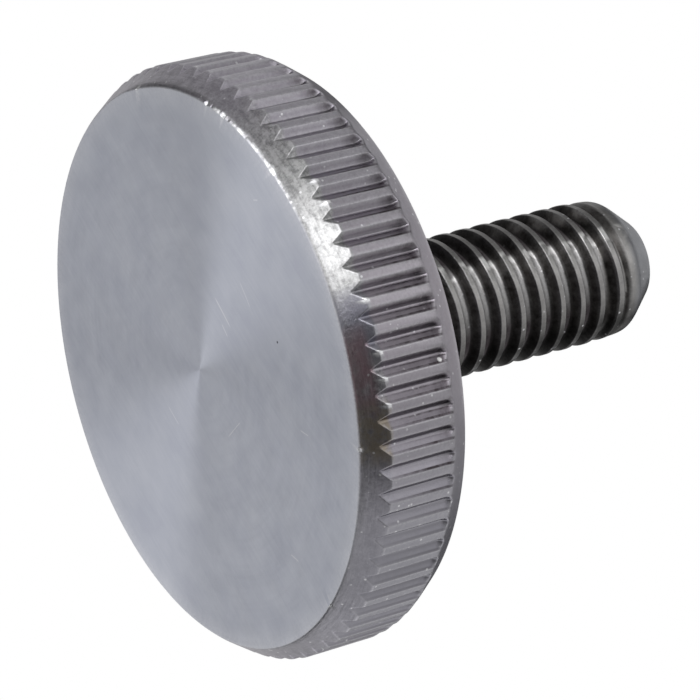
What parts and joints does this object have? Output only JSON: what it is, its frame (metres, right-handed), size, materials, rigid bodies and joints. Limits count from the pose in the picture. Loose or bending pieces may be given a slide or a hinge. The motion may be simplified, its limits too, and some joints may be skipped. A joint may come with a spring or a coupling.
{
  "type": "thumb screw",
  "caption": "Steel thumb screw turned in one piece: flat disc head with a straight-knurled, chamfered rim, and a machine-threaded shank with a chamfered tip.",
  "frame": {"origin": "centre of the flat face of the head, which the screw stands on", "axes": "+Z along the shank, from the head to the tip; +X through the middle of one groove of the knurl"},
  "size_m": [0.024, 0.024, 0.021],
  "materials": {
    "steel": "bare turned steel, satin, with darker oxide in the grooves and the thread"
  },
  "bodies": {
    "root": {"thumb_screw": "steel"}
  },
  "joints": []
}
